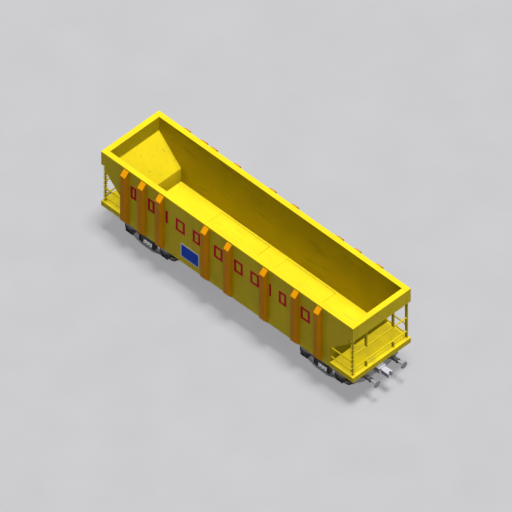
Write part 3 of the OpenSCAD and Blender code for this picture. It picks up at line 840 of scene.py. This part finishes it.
def frame_under_floor():
    """The centre sill and crossbearers with their rivets, and the doors' hinge rods."""
    soften("crossbearers", ["grey"], "grey_edge", 0.006)
    soften("centre_sill", ["grey"], "grey_edge", 0.006)
    soften("door_hinge_rods", ["dark"], "dark", 0.002)
    rivets = Part()
    low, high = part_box("centre_sill")
    for sign in (-1, 1):
        for z in (low.z + 0.10, SILL_Z - 0.05):
            for x in spread(-high.x + 0.10, high.x - 0.10, 0.16):
                rivets.rivet((x, sign * SILL_HALF, z), (0, sign, 0), 0.010)
    for low, high in solids("crossbearers"):
        x = (low.x + high.x) / 2
        for y in spread(-INNER_W + 0.08, INNER_W - 0.08, 0.14):
            if abs(y) > SILL_HALF + 0.03:
                for dx in (-0.035, 0.035):
                    rivets.rivet((x + dx, y, low.z), (0, 0, -1), 0.009)
    rivets.done("underframe_rivets", "wagon", "frame_grey", ["grey"])


def brake_cylinder():
    """A cylinder with a pressure head, a flanged joint with bolts, a rod, and two straps."""
    parts = Part()
    low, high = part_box("brake_cylinder")
    y, r = CYLINDER_Y, CYLINDER_R
    z = low.z + 0.15
    length = high.x - low.x
    parts.lathe((low.x, y, z), X,
                [(0, 0), (0.004, r * 0.55), (0.020, r * 0.86), (0.045, r), (0.42, r), (0.42, r + 0.018),
                 (0.438, r + 0.018), (0.438, r), (0.45, r), (0.45, r + 0.018), (0.474, r + 0.018),
                 (0.482, r * 0.8), (0.50, 0.05), (0.56, 0.045), (0.56, 0.025), (length, 0.025),
                 (length, 0)], 48)
    bolt_r = r + 0.004
    for k in range(8):
        a = k * math.pi / 4 + 0.2
        parts.bolt((low.x + 0.474, y + bolt_r * math.cos(a), z + bolt_r * math.sin(a)), X, 0.009)
    for x in (low.x + 0.10, low.x + 0.35):
        parts.lathe((x, y, z), X, [(0, r), (0, r + 0.006), (0.035, r + 0.006), (0.035, r)], 48)
        parts.box((x - 0.02, y - 0.07, z + r - 0.02), (x + 0.05, y + 0.07, SILL_Z))
    parts.box((low.x - 0.02, y - 0.09, SILL_Z - 0.001), (high.x - 0.13, y + 0.09, SILL_Z + 0.019))
    parts.done("brake_cylinder_shape", "wagon", "dark_steel", ["dark"], ["brake_cylinder"],
               bevel=0.0015, sharp=30)


def air_reservoir():
    """A tank with domed ends, seam rings, two straps with their rods, and a drain. Returns its height."""
    tank = Part()
    low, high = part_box("air_reservoir")
    y, r = TANK_Y, TANK_R
    z = low.z + r
    length = high.x - low.x - 0.03
    x0 = (low.x + high.x) / 2 - length / 2
    turns = [math.pi / 2 * k / 8 for k in range(1, 9)]
    dome = [(TANK_CAP * (1 - math.cos(t)), r * math.sin(t)) for t in turns]
    far_dome = [(length - a, b) for a, b in reversed(dome)]
    tank.lathe((x0, y, z), X, [(0, 0)] + dome + far_dome + [(length, 0)], 56)
    for x in (x0 + TANK_CAP, x0 + length - TANK_CAP):
        tank.lathe((x - 0.005, y, z), X,
                   [(0, r - 0.001), (0.001, r + 0.003), (0.009, r + 0.003), (0.010, r - 0.001)], 56)
    for x in (-0.17, 0.17):
        tank.lathe((x - 0.02, y, z), X, [(0, r), (0, r + 0.005), (0.04, r + 0.005), (0.04, r)], 56)
        tank.box((x - 0.035, y - 0.07, z + r - 0.03), (x + 0.035, y + 0.07, SILL_Z))
        for dy in (-0.175, 0.175):
            tank.tube([(x, y + dy, z + 0.06), (x, y + dy, SILL_Z)], 0.009, 10)
    drain = [(0, 0.018), (0.018, 0.018), (0.018, 0.010), (0.034, 0.010), (0.034, 0)]
    tank.lathe((0, y, z - r + 0.004), -Z, drain, 12)
    tank.box((low.x, y - 0.09, SILL_Z - 0.001), (high.x, y + 0.09, SILL_Z + 0.019))
    tank.done("air_reservoir_shape", "wagon", "dark_steel", ["dark"], ["air_reservoir"],
              bevel=0.0015, sharp=30)
    return z


def air_pipes(tank_z):
    """The main pipe from end to end with its brackets, and a branch to each vessel."""
    pipes = Part()
    y, z = PIPE_Y, SILL_Z - PIPE_DROP
    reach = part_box("headstocks")[1].x - 0.10
    pipes.tube([(-reach, y, z), (reach, y, z)], 0.017, 14)
    to_cylinder = [(0.30, y, z), (0.30, -0.50, z), (0.30, -0.50, tank_z), (0.26, -0.50, tank_z)]
    to_tank = [(0.05, y, z), (0.05, 0.10, z - 0.38), (0.05, 0.45, z - 0.38), (0.05, 0.54, tank_z)]
    pipes.tube(bend(to_cylinder, 0.04), 0.012, 12)
    pipes.tube(bend(to_tank, 0.05), 0.012, 12)
    for x in spread(-reach + 0.3, reach - 0.3, 1.05):
        pipes.box((x - 0.015, y - 0.024, z - 0.003), (x + 0.015, -SILL_HALF + 0.001, z + 0.003))
        pipes.lathe((x - 0.012, y, z), X, [(0, 0.017), (0, 0.023), (0.024, 0.023), (0.024, 0.017)], 14)
    pipes.done("air_pipes", "wagon", "dark_steel", ["dark"])


# ---------- drop doors ----------

DOOR_THICK = 0.03


def door_details(end, side):
    """A door leaf with rivets over its ribs and a bolted catch near each end."""
    node = f"{end}_{side}_door"
    soften(node, ["inside", "yellow"], "yellow_edge", 0.003,
           lambda face: 0 if face.normal.z > 0.9 else 1)
    low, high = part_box(node)
    sign = SIDES[side]
    outer = outermost(low, high, 1)
    under = DECK_Z - DOOR_THICK
    parts = Part()
    for t in (1 / 6, 1 / 2, 5 / 6):
        x = low.x + (high.x - low.x) * t
        for y in spread(innermost(low, high, 1) + 0.12, outer - 0.06, 0.13):
            for dx in (-0.034, 0.034):
                parts.rivet((x + dx, sign * y, DECK_Z), Z, 0.008)
                parts.rivet((x + dx, sign * y, under), -Z, 0.008)
    y = sign * (outer - 0.10)
    for x in (low.x + 0.30, high.x - 0.30):
        parts.box((x - 0.05, y - 0.035, DECK_Z - 0.062), (x + 0.05, y + 0.035, under))
        parts.bolt((x, y, DECK_Z - 0.062), -Z, 0.014)
    parts.done(node + "_rivets", frame["nodes"][node]["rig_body"], "body_yellow", ["yellow"])


# ---------- bogies ----------

FLANGE_H = 0.028         # how far the flange stands past the tread
AXLE_SEAT_R = 0.081
WHEEL_SIDES = 72


def side_frame_castings(end):
    """Side frames with a recessed web between flanges, from the CAD outline. The web takes the darker
    casting as painted shade in the recess.
    """
    node = end + "_side_frames"
    bm = node_bmesh(node, whole=False)
    for want in (-1, 1):
        for sign in (-1, 1):
            region = [f for f in bm.faces if f.normal.y * want > 0.9 and f.calc_center_median().y * sign > 0]
            deep = -0.036 if want == sign else -0.020
            for thickness, depth in ((0.028, 0), (0.010, deep)):
                bmesh.ops.inset_region(bm, faces=region, thickness=thickness, depth=depth,
                                       use_even_offset=False)
            # The recessed web faces take the dark casting: painted shade in the recess, not a different
            # metal.
            for f in region:
                f.material_index = 1
    mesh = bpy.data.meshes.new(node + "_shape")
    bm.to_mesh(mesh)
    bm.free()
    piece(mesh, node + "_shape", end + "_bogie", ["bogie", "dark"], [node], 0.005)


def coil(part, x, y, low, high, radius, wire, turns):
    """A coil spring with flattened ends, between two heights."""
    points = []
    steps = int(turns * 20)
    for i in range(steps + 1):
        t = i / steps
        even = min(1, max(0, (t - 0.08) / 0.84))
        eased = 0.5 - 0.5 * math.cos(math.pi * even)
        z = low + wire + (high - low - 2 * wire) * (0.85 * even + 0.15 * eased)
        a = 2 * math.pi * turns * t
        points.append((x + radius * math.cos(a), y + radius * math.sin(a), z))
    part.tube(points, wire, 8)


def spring_nest(end):
    """An outer and an inner coil between two seats, for each spring of a bogie."""
    node = end + "_springs"
    part = Part()
    for low, high in solids(node):
        x, y = (low.x + high.x) / 2, (low.y + high.y) / 2
        r = (high.x - low.x) / 2
        # The coils take the near-white spring steel, whose brightness is a painted highlight.
        part.slot = 0
        coil(part, x, y, low.z + 0.008, high.z - 0.008, r - 0.013, 0.0125, 5.2)
        coil(part, x, y, low.z + 0.008, high.z - 0.008, r - 0.036, 0.008, 7.5)
        part.slot = 1
        seat = [(0, 0), (0, r), (0.006, r), (0.009, r - 0.003), (0.009, 0)]
        for z, up in ((low.z, 1), (high.z, -1)):
            part.lathe((x, y, z), (0, 0, up), seat, 28)
    part.done(node + "_shape", end + "_bogie", "bright_steel", ["spring", "dark"], [node], sharp=45)


def axle_box_fittings(end):
    """The cap's bolts and rim, and the bolts at the corners of each box."""
    soften(end + "_axle_boxes", ["dark"], "dark", 0.010)
    parts = Part()
    axle_z = sum(v.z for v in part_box(end + "_outer_wheels")) / 2
    for low, high in solids(end + "_axle_boxes"):
        sign = 1 if low.y > 0 else -1
        outward = (0, sign, 0)
        x = (low.x + high.x) / 2
        cap = sign * outermost(low, high, 1)
        face = cap - sign * 0.020
        for k in range(3):
            a = math.pi / 2 + k * 2 * math.pi / 3
            parts.bolt((x + 0.052 * math.cos(a), cap, axle_z + 0.052 * math.sin(a)), outward, 0.014)
        rim = [(-EMBED, 0.083), (0.004, 0.080), (0.004, 0.074), (0, 0.070)]
        parts.lathe((x, cap, axle_z), outward, rim, 32)
        for dx in (-0.130, 0.130):
            for z in (low.z + 0.035, high.z - 0.035):
                parts.bolt((x + dx, face, z), outward, 0.014)
    parts.done(end + "_axle_box_fittings", end + "_bogie", "dark_steel", ["dark"])


def bolster_fittings(end):
    """Bolts in the bolster's ends, guide rods beside the springs, and the brake's pull rods."""
    soften(end + "_bolster", ["bogie"], "bogie", 0.010)
    soften(end + "_brake_beams", ["dark"], "dark", 0.005)
    low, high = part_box(end + "_bolster")
    pivot = (low.x + high.x) / 2
    parts = Part()
    for sign in (-1, 1):
        for dx in (-0.11, 0.11):
            parts.bolt((pivot + dx, sign * high.y, low.z + 0.13), (0, sign, 0), 0.016)
        for x in (pivot - 0.34, pivot + 0.34):
            for dx in (-0.01, 0.01):
                parts.tube([(x + dx, sign * 0.70, 0.40), (x + dx, sign * 0.70, 0.66)], 0.011, 10)
    for y, z, radius in ((-0.30, 0.405, 0.014), (0.30, 0.405, 0.014), (0, 0.36, 0.018)):
        parts.tube([(pivot - 0.33, y, z), (pivot + 0.33, y, z)], radius, 12)
    parts.done(end + "_bolster_fittings", end + "_bogie", "dark_steel", ["dark"])


def wheel(part, at, axis, flange):
    """One rolled wheel: back, tread, front and bore, each as (distance from the back, radius)."""
    r = flange - FLANGE_H
    back = [(-0.024, AXLE_SEAT_R), (-0.025, 0.130), (-0.021, 0.138), (0.034, 0.150), (0.044, 0.175),
            (0.034, r - 0.16), (0.026, r - 0.10), (0.030, r - 0.076), (0.006, r - 0.066),
            (0.0, r - 0.060), (0.0, flange - 0.014)]
    tread = [(0.0, flange - 0.014), (0.004, flange - 0.004), (0.010, flange), (0.018, flange - 0.001),
             (0.025, flange - 0.009), (0.031, r + 0.012), (0.038, r + 0.003), (0.050, r),
             (0.070, r - 0.0005), (0.134, r - 0.004), (0.140, r - 0.010)]
    front = [(0.140, r - 0.010), (0.140, r - 0.056), (0.134, r - 0.064), (0.066, r - 0.076),
             (0.058, r - 0.10), (0.062, r - 0.16), (0.074, 0.175), (0.080, 0.158), (0.160, 0.146),
             (0.165, 0.140), (0.165, AXLE_SEAT_R)]
    bore = [(0.165, AXLE_SEAT_R), (-0.024, AXLE_SEAT_R)]
    for slot, profile in ((0, back), (1, tread), (0, front), (0, bore)):
        part.slot = slot
        part.lathe(at, axis, profile, WHEEL_SIDES, close_ends=False)


def wheelset(end, place):
    """Rolled wheels with a dished web, a coned bright tread, and their axle."""
    name = f"{end}_{place}"
    soften(name + "_axle", ["wheel"], "wheel", 0.003)
    part = Part()
    for low, high in solids(name + "_wheels"):
        sign = 1 if low.y > 0 else -1
        outward = (0, sign, 0)
        x, z = (low.x + high.x) / 2, (low.z + high.z) / 2
        back = innermost(low, high, 1) + 0.025
        wheel(part, (x, sign * back, z), outward, (high.x - low.x) / 2)
        for a in (0.6, math.pi + 0.6):
            hole = (x + 0.24 * math.cos(a), sign * (back + 0.061), z + 0.24 * math.sin(a))
            part.lathe(hole, outward, [(-0.004, 0.016), (0.001, 0.014), (0.001, 0)], 16)
    bmesh.ops.remove_doubles(part.bm, verts=part.bm.verts, dist=MERGE)
    part.done(name + "_wheels_shape", name + "_wheelset", "wheel_steel", ["wheel", "tread"],
              [name + "_wheels"], sharp=32)


# ---------- stage ----------

FLOOR_HALF = 300         # metres from the middle to the floor's edge
SUN_TOWARD = (0.12, 0.0, 1.0)
VIEW_SPAN = 17.815       # metres across the square frame
VIEW_CENTRE = Vector((0, 0, RIM_Z - 1.784))
VIEW_BACK = Vector((0.5, -0.5, math.sqrt(0.5)))
VIEW_AWAY = 150.0


def stage():
    mesh = bpy.data.meshes.new("floor")
    bm = bmesh.new()
    place = Matrix.Translation((0, 0, CAD_BOX[0][2] - 0.001))
    bmesh.ops.create_grid(bm, x_segments=1, y_segments=1, size=FLOOR_HALF, matrix=place)
    bm.to_mesh(mesh)
    bm.free()
    floor = bpy.data.objects.new("floor", mesh)
    bpy.context.scene.collection.objects.link(floor)
    s = Shader("pale_floor", 0.7)
    mesh.materials.append(s.done(s.mix(s.steps(s.noise(0.4, 2), 0.3, 0.7), *FLOOR_TONES)))


def sun_light(name, power, angle, shadow, bounces):
    sun = bpy.data.lights.new(name, "SUN")
    sun.energy = power
    sun.angle = math.radians(angle)
    sun.use_shadow = shadow
    sun.cycles.max_bounces = bounces
    obj = bpy.data.objects.new(name, sun)
    obj.rotation_euler = Vector(SUN_TOWARD).to_track_quat("Z", "Y").to_euler()
    bpy.context.scene.collection.objects.link(obj)


def lights():
    """The photograph is lit from straight above, and half of that light passes under overhangs."""
    sun_light("key_light", 1.9, 16, True, 1)
    sun_light("fill_light", 2.1, 10, False, 0)
    world = bpy.data.worlds.new("studio")
    world.use_nodes = True
    background = world.node_tree.nodes["Background"]
    background.inputs["Color"].default_value = (0.95, 0.97, 1.0, 1)
    background.inputs["Strength"].default_value = 0.07
    bpy.context.scene.world = world


def camera():
    data = bpy.data.cameras.new("camera")
    data.type = "ORTHO"
    data.ortho_scale = VIEW_SPAN
    data.clip_end = VIEW_AWAY * 4
    obj = bpy.data.objects.new("camera", data)
    obj.location = VIEW_CENTRE + VIEW_BACK * VIEW_AWAY
    obj.rotation_euler = (-VIEW_BACK).to_track_quat("-Z", "Y").to_euler()
    bpy.context.scene.collection.objects.link(obj)
    bpy.context.scene.camera = obj


# ---------- the scene ----------

body_shell()
for side_name in SIDES:
    side_posts(side_name)
    markings(side_name)
wall_rivets()
seams()
railings()
rung_caps()
headstock_fittings()
buffer_sets()
coupler_fittings()
frame_under_floor()
brake_cylinder()
air_pipes(air_reservoir())
for end_name in ENDS:
    for side_name in SIDES:
        door_details(end_name, side_name)
    side_frame_castings(end_name)
    spring_nest(end_name)
    axle_box_fittings(end_name)
    bolster_fittings(end_name)
    for place_name in ("outer", "inner"):
        wheelset(end_name, place_name)
stage()
lights()
camera()
bpy.context.scene.view_settings.view_transform = "Standard"
